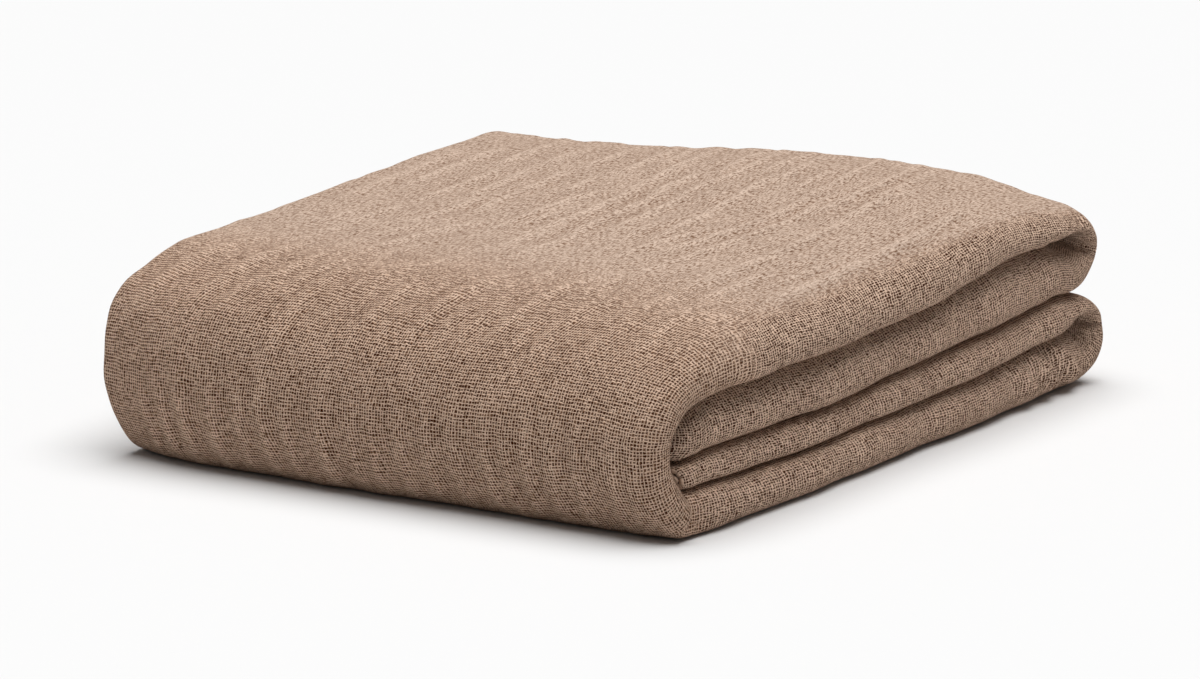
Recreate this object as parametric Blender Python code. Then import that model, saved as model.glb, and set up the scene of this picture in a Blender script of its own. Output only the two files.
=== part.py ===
# Folded swaddle blanket: one muslin cloth, quartered lengthways into a strip and book-folded
# into four layers. Metres, +Z up. X runs along the big front fold, with the rounded lips of
# the layers on +X and the hems on -X. The front fold is on -Y, the two back folds on +Y.
import math

import bmesh
import bpy

CLOTH = 0.0022  # thickness of the cloth
WIDTH = 0.256  # the front fold, end to end
DEPTH = 0.324  # front fold to back folds
FLARE = 0.034  # how much further out the hem side stands at the back than at the front
GAP = 0.0010  # between two layers of the strip
HEM_IN = 0.004  # the two hems stand this far inside the folded edge
TOP_BACK_IN = 0.003  # the upper back fold stands this far inside the lower one
CORNER_IN = 0.008  # the hem end of the front fold draws back by this much

# The big front fold: a low quarter turn up to where it stands furthest out, then a longer one.
FRONT_LOW = 0.016
FRONT_HIGH = 0.060
FRONT_AT = 0.40  # height of that place, as a share of the way up
FRONT_THICK = 0.0120  # the strip is pressed thinner here
MOUTH_SQUARE = 2.8  # how square the mouth inside the fold is; 2 is round
RIM_IN = 0.0055  # how far the lip draws in half way up the fold

# Top of each layer at the lips, from the floor layer up, without the gap above it.
LAYERS = ("fourth", "third", "second", "first")
LAYER_TOPS = (
    # y,     fourth, third, second, first
    (-0.135, (0.0165, 0.0295, 0.0465, 0.0660)),
    (0.000, (0.0165, 0.0290, 0.0480, 0.0690)),
    (0.060, (0.0175, 0.0315, 0.0540, 0.0725)),
    (0.130, (0.0205, 0.0360, 0.0600, 0.0760)),
)
# Where each layer's lip stands, in from the outermost one, at the front and at the back.
LIP_IN = {"fourth": (0.0, 0.001), "third": (0.006, 0.001),
          "second": (0.006, 0.003), "first": (0.003, 0.003)}

# The two ends of the strip, tucked into the mouth of the front fold and pressed thinner there.
THIRD_END = -0.1470
SECOND_END = -0.1475
END_TAPER = 0.030  # length of the thinner part
THIRD_END_THIN = 0.0025
SECOND_END_THIN = 0.0040
SECOND_END_LEAN = 0.0095  # its top ends this much behind its bottom, under the bend of the fold

# Height of the pile against its height at the lips, in columns from the hem side to the lips.
HEIGHT_COLUMNS = (-0.155, -0.075, 0.000, 0.070, 0.105, 0.130)
PILE_HEIGHT = (
    # y,     share at each column
    (-0.155, (1.10, 1.11, 1.11, 1.10, 1.06, 0.99)),
    (-0.080, (1.10, 1.11, 1.12, 1.11, 1.07, 0.99)),
    (0.000, (1.09, 1.11, 1.13, 1.12, 1.07, 0.99)),
    (0.080, (1.05, 1.08, 1.11, 1.11, 1.06, 1.00)),
    (0.145, (1.03, 1.05, 1.08, 1.08, 1.03, 0.97)),
)

# Soft crinkles that run along the strip: x, height, half width, and how far each wanders.
CRINKLES = (
    (-0.108, 0.0007, 0.0080, 0.0020),
    (-0.088, 0.0009, 0.0075, -0.0020),
    (-0.066, 0.0006, 0.0085, 0.0025),
    (-0.045, 0.0010, 0.0075, 0.0015),
    (-0.024, 0.0007, 0.0080, -0.0025),
    (-0.002, 0.0009, 0.0075, 0.0020),
    (0.019, 0.0008, 0.0080, 0.0015),
    (0.041, 0.0006, 0.0075, -0.0020),
    (0.062, 0.0009, 0.0080, 0.0020),
    (0.083, 0.0007, 0.0075, -0.0015),
    (0.102, 0.0005, 0.0070, 0.0010),
)

# Stations along the strip and points across it.
STRAIGHT_STEPS = 5
TOP_STEPS = 6
BACK_STEPS = 7
FRONT_STEPS = 12
RUN_POINTS = 4
OUTER_POINTS = 32
LIP_POINTS = 7
TURN_POINTS = 4


def mix(first, last, share):
    return first + (last - first) * share


def smooth(share):
    share = min(1.0, max(0.0, share))
    return share * share * (3.0 - 2.0 * share)


def along(places, values, at):
    """The value at a place on the smooth curve through the given values."""
    if at <= places[0]:
        return values[0]
    if at >= places[-1]:
        return values[-1]
    step = max(i for i, place in enumerate(places) if place <= at)
    slopes = []
    for i in (step, step + 1):
        low, high = max(i - 1, 0), min(i + 1, len(places) - 1)
        slopes.append((values[high] - values[low]) / (places[high] - places[low]))
    length = places[step + 1] - places[step]
    share = (at - places[step]) / length
    bend = share * (1.0 - share) * length
    return (mix(values[step], values[step + 1], smooth(share))
            + bend * ((1.0 - share) * slopes[0] - share * slopes[1]))


def table(rows, column, at):
    return along([row[0] for row in rows], [row[1][column] for row in rows], at)


def layer_span(name, y):
    """Bottom and top of a layer at the lips."""
    order = LAYERS.index(name)
    top = table(LAYER_TOPS, order, y)
    bottom = table(LAYER_TOPS, order - 1, y) + GAP if order else 0.0
    if name == "third":
        top -= THIRD_END_THIN * smooth((THIRD_END + END_TAPER - y) / END_TAPER)
    if name == "second":
        top -= SECOND_END_THIN * smooth((SECOND_END + END_TAPER - y) / END_TAPER)
    return bottom, top


def lip_in(name, y):
    front, back = LIP_IN[name]
    return mix(front, back, smooth(y / DEPTH + 0.5))


def station(inner, outer, lip, crinkle):
    """A place along the strip, from its inner face to its outer one, each as (y, z)."""
    return dict(inner=inner, outer=outer, lip=lip, crinkle=crinkle)


def straight(name, start, end, steps):
    """Stations of one lying layer. Its outer face looks up where the strip runs back."""
    for step in range(steps):
        y = mix(start, end, step / steps)
        bottom, top = layer_span(name, y)
        inner, outer = (bottom, top) if end > start else (top, bottom)
        near_end = smooth((SECOND_END + END_TAPER - y) / END_TAPER) if name == "second" else 0.0
        yield station((y + SECOND_END_LEAN * near_end, inner), (y, outer), lip_in(name, y),
                      1.0 if name == "first" else 0.0)


def back_fold(leaving, entering, y, steps):
    """Stations round a back fold, turning about the gap between its two layers."""
    low, high = layer_span(entering, y), layer_span(leaving, y)
    middle, inner = (low[1] + high[0]) / 2, (high[0] - low[1]) / 2
    for step in range(steps):
        share = step / steps
        turn = math.pi * share
        outer = inner + mix(high[1] - high[0], low[1] - low[0], smooth(share))
        yield station(*((y + radius * math.sin(turn), middle + radius * math.cos(turn))
                        for radius in (inner, outer)),
                      mix(lip_in(leaving, y), lip_in(entering, y), smooth(share)),
                      smooth(1.0 - 2.0 * share) if leaving == "first" else 0.0)


def quarter(turn, nearest, reach, middle, rise, square):
    """A place on a quarter of a squared round: how far back it is, and how high."""
    power = 2.0 / square
    return (nearest + reach * (1.0 - abs(math.sin(turn)) ** power),
            middle + rise * math.copysign(abs(math.cos(turn)) ** power, math.cos(turn)))


def front_fold(front, steps):
    """Stations round the big front fold, from the floor layer up to the top one."""
    for step in range(steps):
        share = step / steps
        turn = math.pi * (1.0 + share)
        reach = FRONT_LOW if share < 0.5 else FRONT_HIGH
        floor, top = layer_span("fourth", front + FRONT_LOW), layer_span("first", front + FRONT_HIGH)
        mouth = mix(floor[1], top[0], FRONT_AT + 0.05)
        middle = FRONT_AT * top[1]
        low = share < 0.5
        outer = quarter(turn, front, reach, middle, middle if low else top[1] - middle, 2.0)
        inner = quarter(turn, front + FRONT_THICK, reach - FRONT_THICK, mouth,
                        mouth - floor[1] if low else top[0] - mouth, MOUTH_SQUARE)
        pressed = math.sin(math.pi * share) ** 2
        lip = mix(lip_in("fourth", front), lip_in("first", front), smooth(share))
        yield station(inner, outer, lip + RIM_IN * pressed, smooth(2.2 * share - 0.2))


def strip_stations():
    """The strip from the end of the third layer, round both back folds, to that of the second."""
    low_back = DEPTH / 2 - layer_span("third", DEPTH / 2)[1] / 2
    top_back = low_back - TOP_BACK_IN
    front = -DEPTH / 2
    return [
        *straight("third", THIRD_END, low_back, STRAIGHT_STEPS),
        *back_fold("third", "fourth", low_back, BACK_STEPS),
        *straight("fourth", low_back, front + FRONT_LOW, STRAIGHT_STEPS),
        *front_fold(front, FRONT_STEPS),
        *straight("first", front + FRONT_HIGH, top_back, TOP_STEPS),
        *back_fold("first", "second", top_back, BACK_STEPS),
        *straight("second", top_back, SECOND_END, STRAIGHT_STEPS),
        *list(straight("second", SECOND_END, SECOND_END - CLOTH, 1)),
    ]


def crinkle_height(x, y, strength):
    """How far the crinkles lift the outer face at a place on it."""
    lift = 0.0
    for middle, height, half, wander in CRINKLES:
        across = (x - middle - wander * math.sin(y * 26.0 + middle * 90.0)) / half
        lift = max(lift, height * math.exp(-across * across))
    return lift * strength


def arc(x, level, radius, start, end, points):
    """Points of a bend. A negative radius puts the outer side on the inside of the bend."""
    for step in range(points + 1):
        looks = mix(start, end, step / points)
        yield x + radius * math.cos(looks), level + radius * math.sin(looks), looks


def run(start, end, level, points, looks):
    """Points of a flat run, without its ends. Looks is the angle that the outer side faces."""
    for step in range(1, points):
        yield mix(start, end, step / points), level, looks


def section(thick, lip_back):
    """The cloth across the strip: (x, level, angle its outer side faces), hem to hem."""
    half = thick / 2 - CLOTH / 2
    pitch = 2 * half / 3
    lip = WIDTH / 2 - lip_back - CLOTH / 2 - half
    edge = -WIDTH / 2 + CLOTH / 2 + pitch / 2
    hem = edge + HEM_IN
    up, down = math.pi / 2, -math.pi / 2
    yield hem, -half, down
    yield from run(hem, lip, -half, RUN_POINTS, down)
    yield from arc(lip, 0.0, half, down, up, LIP_POINTS)
    yield from run(lip, edge, half, OUTER_POINTS, up)
    yield from arc(edge, pitch, pitch / 2, up, up + math.pi, TURN_POINTS)
    yield from run(edge, lip, pitch / 2, RUN_POINTS, up + math.pi)
    yield from arc(lip, 0.0, -pitch / 2, up + math.pi, up, TURN_POINTS)
    yield from run(lip, hem, -pitch / 2, RUN_POINTS, up)
    yield hem, -pitch / 2, up


def settled(x, y, z):
    """A point of the even stack, moved to where the uneven pile has it."""
    columns = [along(HEIGHT_COLUMNS, shares, x) for _, shares in PILE_HEIGHT]
    height = along([row_y for row_y, _ in PILE_HEIGHT], columns, y)
    if x < 0:
        back = max(0.0, y / DEPTH + 0.5)
        x -= FLARE * back ** 1.3 * (x / (WIDTH / 2)) ** 2
        y += CORNER_IN * smooth((-x - 0.080) / 0.060) * smooth(1.0 - 3.0 * back)
    return x, y, z * height


def ring(place):
    """The two sides of the cloth and its rounded hems at one station, in world places."""
    (inner_y, inner_z), (outer_y, outer_z) = place["inner"], place["outer"]
    thick = math.hypot(outer_y - inner_y, outer_z - inner_z)

    def world(x, level):
        share = level / thick + 0.5
        return settled(x, mix(inner_y, outer_y, share), mix(inner_z, outer_z, share))

    outside, inside = [], []
    top = thick / 2 - CLOTH / 2
    for x, level, looks in section(thick, place["lip"]):
        if level > top - 1e-6:
            level += crinkle_height(x, outer_y, place["crinkle"])
        dx, dn = CLOTH / 2 * math.cos(looks), CLOTH / 2 * math.sin(looks)
        outside.append(world(x + dx, level + dn))
        inside.append(world(x - dx, level - dn))
    hem = -WIDTH / 2 + top / 3 + HEM_IN
    return outside + [world(hem, -top / 3)] + inside[::-1] + [world(hem, -top)]


def cap_faces(first, count):
    """Faces that close one end of the cloth, from one side of it to the other."""
    last = 2 * count
    for step in range(count - 1):
        yield [first + step, first + step + 1, first + last - step - 1, first + last - step]
    yield [first + count - 1, first + count, first + count + 1]
    yield [first + last + 1, first, first + last]


def build_blanket():
    rings = [ring(place) for place in strip_stations()]
    size = len(rings[0])
    low = [min(point[axis] for points in rings for point in points) for axis in range(3)]
    high = [max(point[axis] for points in rings for point in points) for axis in range(3)]
    origin = ((low[0] + high[0]) / 2, (low[1] + high[1]) / 2, low[2])

    shape = bmesh.new()
    for points in rings:
        for point in points:
            shape.verts.new([point[axis] - origin[axis] for axis in range(3)])
    shape.verts.ensure_lookup_table()
    faces = []
    for row in range(len(rings) - 1):
        for step in range(size):
            after = (step + 1) % size
            faces.append([row * size + step, row * size + after,
                          (row + 1) * size + after, (row + 1) * size + step])
    count = (size - 2) // 2
    faces += cap_faces(0, count)
    faces += cap_faces((len(rings) - 1) * size, count)
    for face in faces:
        shape.faces.new([shape.verts[corner] for corner in face])
    bmesh.ops.recalc_face_normals(shape, faces=shape.faces[:])
    mesh = bpy.data.meshes.new("blanket")
    shape.to_mesh(mesh)
    shape.free()
    return bpy.data.objects.new("blanket", mesh)


def main():
    for old in list(bpy.data.objects):
        bpy.data.objects.remove(old, do_unlink=True)
    folder = bpy.data.collections.new("swaddle_blanket")
    bpy.context.scene.collection.children.link(folder)
    blanket = build_blanket()
    folder.objects.link(blanket)

    muslin = bpy.data.materials.new("muslin")
    muslin.use_nodes = True
    shader = muslin.node_tree.nodes["Principled BSDF"]
    shader.inputs["Base Color"].default_value = (0.42, 0.30, 0.23, 1.0)
    shader.inputs["Roughness"].default_value = 0.95
    blanket.data.materials.append(muslin)


main()
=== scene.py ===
# The looks of the folded muslin blanket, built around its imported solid. One sheet of cloth is
# laid on the solid's own folds, much finer, with its creases, soft lips and woven material.
# Metres, +Z up, in the frame of the solid: the big front fold is on -Y, the lips on +X.
import math

import bpy
import numpy as np
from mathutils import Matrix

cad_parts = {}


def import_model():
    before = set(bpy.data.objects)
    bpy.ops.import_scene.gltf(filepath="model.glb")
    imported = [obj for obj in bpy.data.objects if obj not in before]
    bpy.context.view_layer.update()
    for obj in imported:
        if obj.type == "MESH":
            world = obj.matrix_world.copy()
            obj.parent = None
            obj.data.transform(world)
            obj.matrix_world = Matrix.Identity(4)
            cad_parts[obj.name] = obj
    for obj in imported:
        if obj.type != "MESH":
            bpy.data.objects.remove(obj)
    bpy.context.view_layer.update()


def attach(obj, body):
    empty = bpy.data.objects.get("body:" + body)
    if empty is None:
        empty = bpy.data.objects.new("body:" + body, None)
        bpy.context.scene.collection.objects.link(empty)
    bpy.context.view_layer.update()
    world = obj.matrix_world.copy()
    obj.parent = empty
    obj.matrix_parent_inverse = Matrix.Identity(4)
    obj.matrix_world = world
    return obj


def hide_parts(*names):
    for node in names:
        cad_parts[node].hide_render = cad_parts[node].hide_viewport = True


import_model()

MM = 0.001

# ---- the folded pile
# The solid's own sizes, some of them fitted more closely here.
CLOTH = 0.0020  # thickness of the cloth
WIDTH, DEPTH = 0.256, 0.324  # the front fold, end to end, and front fold to back folds
FLARE, FLARE_CURVE = 0.034, 1.3  # how much further out the hems stand at the back, how it grows
GAP = 0.0010  # between two layers of the strip
HEM_IN = 0.004  # the two hems stand this far inside the folded edge
TOP_BACK_IN = 0.001  # the upper back fold stands this far inside the lower one
CORNER_IN = 0.008  # the hem end of the front fold draws back by this much

# The big front fold: a low quarter turn up to where it stands furthest out, then a longer one.
FRONT_LOW, FRONT_HIGH = 0.016, 0.060
FRONT_AT = 0.40  # height of that place, as a share of the way up
MOUTH_UP = 0.05  # how much further up the mouth inside it has its own
FRONT_THICK = 0.0120  # the strip is pressed thinner here
MOUTH_SQUARE = 2.8  # how square the mouth inside the fold is; 2 is round
RIM_IN = 0.0075  # how far the lip draws in half way up the fold

# Top of each layer at the lips, from the floor layer up, without the gap above it.
LAYERS = ("fourth", "third", "second", "first")
LAYER_TOPS = (
    # y,     fourth, third, second, first
    (-0.135, (0.0163, 0.0268, 0.0465, 0.0660)),
    (-0.090, (0.0151, 0.0266, 0.0469, 0.0670)),
    (-0.030, (0.0160, 0.0273, 0.0475, 0.0683)),
    (0.030, (0.0174, 0.0312, 0.0512, 0.0708)),
    (0.085, (0.0205, 0.0338, 0.0590, 0.0738)),
    (0.130, (0.0250, 0.0396, 0.0608, 0.0752)),
)
# How far in each layer's lip stands, at the front and at the back.
LIP_IN = {"fourth": (0.0012, 0.001), "third": (0.006, 0.001),
          "second": (0.006, 0.003), "first": (0.003, 0.003)}

# The two ends of the strip, tucked into the mouth of the front fold and pressed thinner there.
THIRD_END, SECOND_END = -0.1462, -0.1480
END_TAPER = 0.028  # length of the thinner part
THIRD_END_THIN, SECOND_END_THIN = 0.0006, 0.0040
END_DROP, END_DROP_LONG = 0.0022, 0.016  # the line between the two drops by this, over this length
SECOND_END_LEAN = 0.0095  # its top ends this much behind its bottom, under the bend of the fold

ORIGIN = (-0.0168657, -0.0003116, 0.0)  # the solid's origin, in the pile's own frame

# Height of the pile against its height at the lips, in columns from the hem side to the lips.
HEIGHT_COLUMNS = (-0.155, -0.075, 0.000, 0.070, 0.105, 0.130)
PILE_HEIGHT = (
    # y,     share at each column
    (-0.155, (1.10, 1.11, 1.11, 1.10, 1.06, 0.99)),
    (-0.080, (1.10, 1.11, 1.12, 1.11, 1.07, 0.99)),
    (0.000, (1.09, 1.11, 1.13, 1.12, 1.07, 0.99)),
    (0.080, (1.05, 1.08, 1.11, 1.11, 1.06, 1.00)),
    (0.145, (1.030, 1.05, 1.11, 1.085, 0.99, 0.92)),
)

# ---- how finely the sheet is made
# Stations along the strip, and how close together they are at both ends of three stretches: 1 is
# even, less is closer.
THIRD_STEPS, LOW_BACK_STEPS, FOURTH_STEPS = 30, 30, 60
FRONT_LOW_STEPS, FRONT_HIGH_STEPS = 20, 24
FIRST_STEPS, TOP_BACK_STEPS, SECOND_STEPS = 58, 38, 30
THIRD_CLOSE, FOURTH_CLOSE, SECOND_CLOSE = (0.4, 0.6), (0.3, 0.2), (0.6, 0.5)
# Points across the strip, by the parts of its section.
SECTION = dict(inner_run=8, inner_arc=9, outer_arc=13, outer_run=190, edge=8, run_two=6,
               inner_lip=7, run_three=6)
HIDDEN_STEP = 7  # the hidden side of the outer run has one column for this many of the shown one

# How far the lips hang over: their outermost line, from the middle of the layer towards the
# side where they turn in sharply, as a share of half the layer's thickness.
LIP_HANG = 0.42
LIP_ROUND = 1.15  # how far the slow side of a lip reaches in, against its height
FLOOR_ROUND = (1.2, 1.25)  # the same for the lowest lip's side on the floor, front and back
FLOOR_HANG = -0.35  # the lowest lip's hang: it turns in more on its side on the floor
FLOOR_TO_LIP = (0.03125, 0.3125)  # where along the fold that changes, and over what share
INNER_LIP_IN = 1.3  # how far in the two inner thicknesses turn, against half the layer's thickness
LOW_BACK_OUT = 0.003  # how far the lower back fold stands out behind
LOW_CORNER_IN, LOW_CORNER_TOP = 0.006, 0.030  # the front corner at the hems, drawn in low down
LOW_CORNER_LIFT = 0.0018  # how far that corner stands off the floor
LIP_CORNER_LIFT, LIP_CORNER_TOP = 0.0016, 0.022  # the same at the lips, and how high it reaches
SHOULDER_AT, SHOULDER_WIDE = (-0.148, 0.055), 0.018  # y and z of the fuller shoulder at the hems
SHOULDER_OUT = (-0.0012, -0.0038, 0.0018)  # how far it stands out
# Where in x the two corners and the shoulder start, and over what length they come up. The third
# number is how many times they would die out in the pile's depth, from the front.
HEM_CORNER = (0.080, 0.060, 3.0)
LIP_CORNER = (0.100, 0.028, 8.0)
SHOULDER = (0.020, 0.090)
# How pointed the two back folds are on the side where they part from each other, how full the
# lower one is underneath, how far before its turn each narrows, and how high the tips lie.
TOP_POINT, LOW_POINT, LOW_FULL = 1.25, 1.7, 0.85
BACK_SLACK = 0.0080
TIP_RISE = {"top_back": 0.0, "low_back": 0.0032}

# The front fold stands out over the lowest lip behind it, as a flap: how much, over what length
# of the strip, how long the lip takes to come back, and how far round the fold the edge lies.
FLAP_IN, FLAP_STEP, FLAP_FADE, FLAP_AHEAD = 0.0045, 0.0030, 0.035, 0.0060
# Where in x the lip behind it starts to step in, and over what length. It does so fully half way
# up the layer: over which share of it this dies out to the floor, over which it gets less to its
# top, and how much is left there.
FLAP_REACH = (0.100, 0.020)
FLAP_FLOOR, FLAP_TOP, FLAP_LEAST = 0.35, 0.5, 0.3

# ---- the folds' own details
# Where the two back folds draw in between their outer turns, seen from the lip side: a hollow in
# each, with a narrow tuck that points to its tip. Distances are along the strip from the middle of
# the fold, and the last two are shares of the way from the outer side to the inner.
POCKETS = (
    # fold, depth, starts, ends, hollow from, hollow to
    ("top_back", 0.0155, -0.072, 0.046, 0.48, 0.90),
    ("top_back", 0.0090, -0.0085, 0.0085, 0.23, 0.62),
    ("low_back", 0.0130, -0.050, 0.048, 0.42, 0.88),
    ("low_back", 0.0050, -0.0065, 0.0065, 0.26, 0.62),
)
POCKET_REACH = 0.050  # how far in from the lips the cloth gives way to a pocket

# Slow waves of the lips along the strip, in and out, then of their hang: length, height, phase.
LIP_WAVES = ((0.118, 0.0005, 0.4), (0.061, 0.0004, 2.1), (0.033, 0.0002, 4.0))
HANG_WAVES = ((0.083, 0.06, 1.0), (0.041, 0.05, 3.2))
# The lips of the third and second layers turn in at their ends: how far, over what length.
END_TURN = ((0.0012, 0.0015), (0.0085, 0.0160))

# Short slanting folds on the lips near the back folds.
LIP_FOLDS = (
    # stretch, y, height, half width, slant
    ("fourth", 0.1320, 0.0025, 0.0052, 0.80),
    ("fourth", 0.1140, 0.0023, 0.0050, 0.90),
    ("fourth", 0.0965, 0.0013, 0.0050, 0.90),
    ("second", 0.1180, 0.0005, 0.0050, -0.50),
    ("second", 0.1010, 0.0005, 0.0055, -0.50),
    ("first", 0.1290, 0.0006, 0.0045, 0.80),
    ("first", 0.1130, 0.0005, 0.0048, 0.80),
)
LIP_MIDDLES = {"fourth": 0.011, "second": 0.045, "first": 0.066}  # z of their middles
LIP_FOLD_TALL = 0.011  # half their height
LIP_FOLD_SPARE = 10  # how many stations past their stretch they may reach
LIP_FOLD_FLOOR = (0.001, 0.008)  # the z where they start above the floor, and over what height
LIP_FROM = (0.100, 0.012)  # the same for x, where the lips start

# Main creases of the front and the top. Where each starts and ends along the cloth is a share of
# the way from the foot of the front fold to the back fold. Sizes are in mm.
CREASES = (
    # starts, ends, x at its start, half way, at its end, height, half width
    (0.17, 0.37, -114.5, -107, -101.5, 0.9, 2.6),
    (0.24, 0.40, -117, -115, -114, 0.4, 2.6),
    (0.56, 0.88, -113, -115, -117.5, 0.5, 2.6),
    (0.66, 0.90, -104, -105, -107, 0.7, 2.4),
    (0.46, 0.55, -97, -95.5, -93, 0.6, 2.8),
    (0.78, 1.03, -91.5, -95.5, -100, 0.8, 2.3),
    (0.17, 0.37, -90, -84, -79.5, 1.0, 2.4),
    (0.40, 0.59, -87, -87.5, -86, 0.6, 2.0),
    (0.61, 0.80, -87.5, -86.5, -89, 0.7, 2.2),
    (0.16, 0.29, -77, -74, -71.5, 0.6, 2.2),
    (0.62, 0.82, -72, -75.5, -79, 0.8, 2.0),
    (0.82, 1.02, -78.5, -81, -84.5, 0.6, 2.2),
    (0.22, 0.36, -68.5, -64, -60.5, 0.9, 2.4),
    (0.35, 0.51, -64.5, -67, -62, 0.7, 2.2),
    (0.50, 0.66, -71, -66.5, -69, 0.8, 2.2),
    (0.82, 1.02, -62.5, -66, -71, 0.8, 2.0),
    (0.56, 0.82, -57, -60, -66.5, 0.9, 2.0),
    (0.20, 0.34, -59.5, -53, -50, 0.9, 2.3),
    (0.35, 0.55, -54, -52, -43.5, 0.9, 2.3),
    (0.08, 0.32, -50, -47.5, -42, 0.7, 2.2),
    (0.32, 0.46, -42, -43.5, -39.5, 0.7, 2.2),
    (0.69, 0.80, -44.5, -47, -51, 0.7, 2.0),
    (0.81, 1.02, -45.5, -51, -58, 0.8, 2.0),
    (0.86, 1.02, -42, -45, -51, 0.7, 1.8),
    (0.48, 0.73, -33, -34.5, -33, 0.7, 2.0),
    (0.51, 0.63, -29.5, -28.5, -27, 0.7, 1.8),
    (0.24, 0.36, -27, -25.5, -24, 0.5, 2.2),
    (0.16, 0.29, -17.5, -13, -8.5, 0.9, 2.0),
    (0.28, 0.40, -20, -18, -14.5, 0.5, 2.2),
    (0.50, 0.77, -19, -18, -26, 0.9, 2.2),
    (0.74, 1.02, -25, -32.5, -40, 0.9, 2.2),
    (0.43, 0.57, -14.5, -13.5, -12, 0.8, 2.0),
    (0.15, 0.24, -8.5, -5.5, -1.5, 0.6, 1.8),
    (0.51, 0.77, -3, -6, -12, 1.0, 2.2),
    (0.72, 0.86, -14, -15.5, -17.5, 1.0, 2.2),
    (0.84, 1.02, -10.5, -15, -21.5, 0.8, 2.0),
    (0.71, 0.85, -1, -2.5, -5, 0.9, 2.2),
    (0.80, 1.02, 0, -6, -14, 0.8, 2.0),
    (0.38, 0.56, 2, 1.5, -1, 0.8, 2.4),
    (0.87, 1.02, 5, 3, 0.5, 0.8, 2.2),
    (0.16, 0.36, 3.5, 12, 18.5, 1.0, 2.2),
    (0.56, 0.75, 8.5, 5.5, 1, 1.0, 2.0),
    (0.30, 0.42, 12.5, 11, 10.5, 0.5, 2.0),
    (0.17, 0.28, 14, 19, 24.5, 0.6, 2.0),
    (0.52, 0.62, 19.5, 18.5, 17, 0.7, 2.0),
    (0.82, 1.02, 21.5, 15, 6.5, 0.9, 2.0),
    (0.67, 0.89, 24.5, 19, 12, 1.0, 2.0),
    (0.18, 0.28, 25.5, 29, 33, 0.7, 2.0),
    (0.29, 0.40, 31.5, 29.5, 26.5, 0.9, 2.0),
    (0.42, 0.52, 24.5, 24, 22.5, 0.7, 2.0),
    (0.53, 0.70, 30.5, 28.5, 26, 1.0, 2.2),
    (0.80, 0.91, 34.5, 32.5, 30.5, 0.7, 1.8),
    (0.18, 0.38, 36, 44.5, 45.5, 0.9, 2.2),
    (0.43, 0.62, 34.5, 37, 41, 0.7, 2.0),
    (0.49, 0.80, 45, 50, 45.5, 0.9, 2.0),
    (0.78, 1.03, 46, 40, 30.5, 0.9, 2.0),
    (0.16, 0.27, 46.5, 49.5, 53, 0.7, 2.0),
    (0.29, 0.38, 54, 55.5, 56, 0.6, 2.0),
    (0.38, 0.60, 57, 58, 59, 0.8, 1.8),
    (0.58, 0.80, 59, 58.5, 52, 0.8, 1.8),
    (0.70, 1.02, 60.5, 58.5, 48, 0.9, 2.0),
    (0.17, 0.30, 57.5, 61.5, 66.5, 0.8, 2.2),
    (0.38, 0.52, 66, 65.5, 65, 0.6, 1.8),
    (0.80, 1.02, 67.5, 65, 57.5, 0.8, 2.0),
    (0.17, 0.29, 76, 82, 89, 0.6, 2.0),
    (0.24, 0.38, 77.5, 82.5, 86.5, 0.8, 2.2),
    (0.36, 0.55, 83, 82, 81, 0.9, 2.0),
    (0.53, 0.72, 80.5, 79.5, 75.5, 0.9, 2.0),
    (0.70, 0.90, 76, 73.5, 73, 0.9, 2.2),
    (0.33, 0.50, 95, 93.5, 91, 0.9, 1.8),
    (0.73, 0.81, 93.5, 93, 92, 0.6, 2.2),
    (0.19, 0.32, 96, 98, 99.5, 0.6, 2.4),
    (0.44, 0.60, 101.5, 101.5, 102.5, 0.7, 1.8),
    (0.38, 0.62, 110.5, 110, 108, 0.8, 2.2),
    (0.60, 0.86, 108, 106.5, 101.5, 0.9, 2.0),
)
# Short folds at the foot of the front fold: x low down, height, half width, all in mm.
FOOT_FOLDS = (
    (-104, 0.5, 2.6), (-94, 0.7, 2.4), (-84, 0.7, 2.6), (-70, 0.7, 2.8), (-58, 0.5, 2.6),
    (-46, 0.6, 2.6), (-36, 0.6, 2.4), (-20, 0.8, 2.4), (-7, 0.5, 2.6), (2, 0.5, 2.4),
    (14, 0.6, 2.2), (26, 0.6, 2.2), (37, 0.5, 2.4), (51, 0.7, 2.2), (59, 0.6, 2.0),
    (68, 0.7, 2.4), (78, 0.5, 2.6), (89, 0.7, 2.2), (104, 0.7, 2.4), (111, 0.6, 2.2),
)
FOOT_END, FOOT_LEAN = 0.16, -30.0  # where they end, and how x changes along them, in mm a share
CREASE_TROUGH = 0.35  # the troughs beside a crease, against its height
TROUGH_AT = 2.1  # how far from its middle they lie, against its half width
CREASE_FADE = 0.045  # the share over which a crease comes up and dies out
# Creases are lower and wider on the front fold, and higher on top.
FRONT_HIGH_SHARE, FRONT_WIDE_SHARE, TOP_HIGH_SHARE = 0.72, 1.35, 1.22
# Where the front's sizes start to become those of the top, over what share of the run. Then the
# same for where creases get lower at the back, and by how much.
FRONT_TO_TOP = (0.36, 0.24)
NEAR_BACK, BACK_LOWER = (0.86, 0.12), 0.5

# Where along the run the face is creased, where it is felted and painted lighter as on top, and
# where it has the front's weave: where each comes up and over what share, where it has died out
# and over what.
CREASED = ((-0.02, 0.05), (1.14, 0.10))
TOP_FELTED_AND_LIT = ((0.17, 0.28), (1.20, 0.10))
FRONT_WOVEN = ((-0.03, 0.03), (0.34, 0.05))
CREASED_LEVEL = (-0.35, 0.9)  # from which level of the lips up they are creased, and over what
SIDE_FACING = (0.10, 0.60)  # how far a face has to be turned to the side to count as a lip
RELIEF_SPAN = 0.0020  # crease height over which the relief goes from low to high, for painted shade in troughs and light on ridges
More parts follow.
